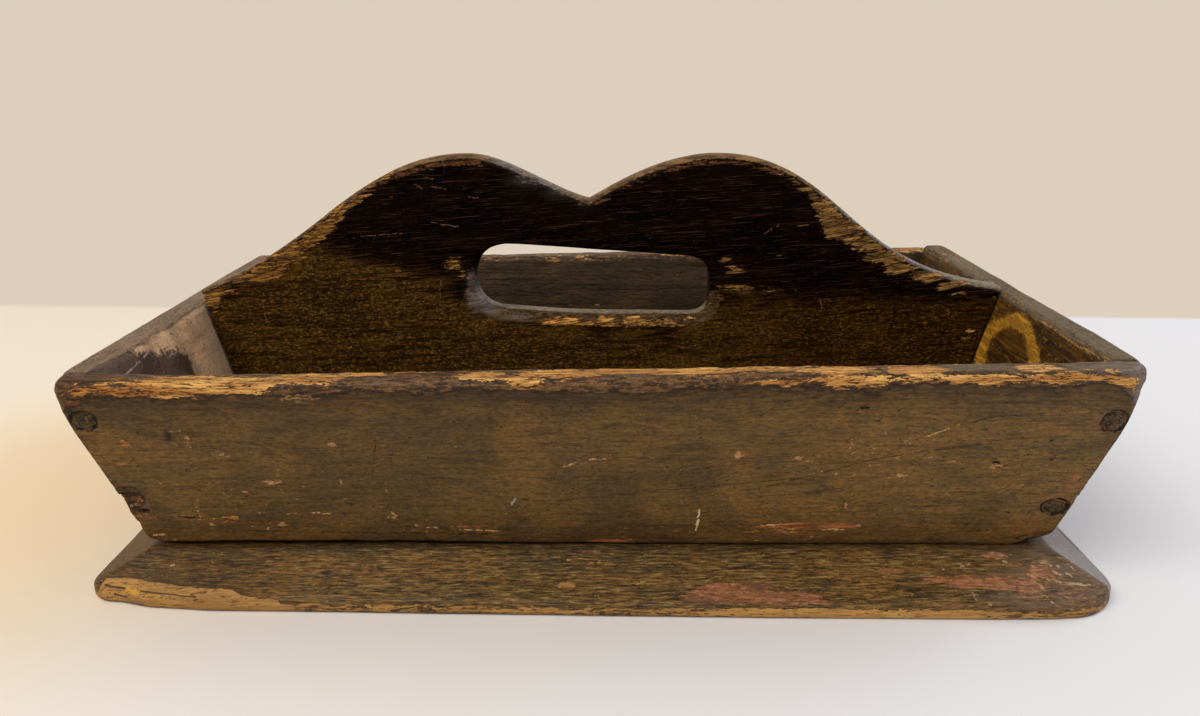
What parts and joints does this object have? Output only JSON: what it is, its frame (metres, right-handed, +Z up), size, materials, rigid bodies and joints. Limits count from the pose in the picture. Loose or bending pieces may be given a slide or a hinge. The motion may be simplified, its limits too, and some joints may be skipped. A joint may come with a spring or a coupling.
{
  "type": "knife box",
  "caption": "Open canted wooden cutlery box on a bevelled bottom board, parted down the middle by a double-humped handle board with a slot hand hole.",
  "frame": {"origin": "middle of the bottom board's underside, on the surface that the box stands on", "axes": "+X along the box's length to its right-hand end, +Y to its back, +Z up"},
  "size_m": [0.363, 0.235, 0.1455],
  "materials": {
    "bottom_board": "worn olive-brown paint over red-brown primer on pine",
    "long_board": "worn olive-brown paint, bare yellow pine on the rim",
    "end_board": "worn olive-brown paint outside, stained bare pine inside",
    "handle_board": "dark hand-polished paint with bare wood torn out along the shoulders",
    "nail": "forged iron, painted over"
  },
  "bodies": {
    "root": {"bottom_board": "bottom_board", "front_board": "long_board", "back_board": "long_board", "left_end_board": "end_board", "right_end_board": "end_board", "handle_board": "handle_board", "corner_nail_front_left_lower": "nail", "corner_nail_front_left_upper": "nail", "corner_nail_front_right_lower": "nail", "corner_nail_front_right_upper": "nail", "corner_nail_back_left_lower": "nail", "corner_nail_back_left_upper": "nail", "corner_nail_back_right_lower": "nail", "corner_nail_back_right_upper": "nail", "handle_nail_left_lower": "nail", "handle_nail_left_upper": "nail", "handle_nail_right_lower": "nail", "handle_nail_right_upper": "nail", "base_nail_front_1": "nail", "base_nail_front_2": "nail", "base_nail_front_3": "nail", "base_nail_back_1": "nail", "base_nail_back_2": "nail", "base_nail_back_3": "nail", "base_nail_left_1": "nail", "base_nail_left_2": "nail", "base_nail_right_1": "nail", "base_nail_right_2": "nail", "base_nail_handle_1": "nail", "base_nail_handle_2": "nail"}
  },
  "joints": []
}
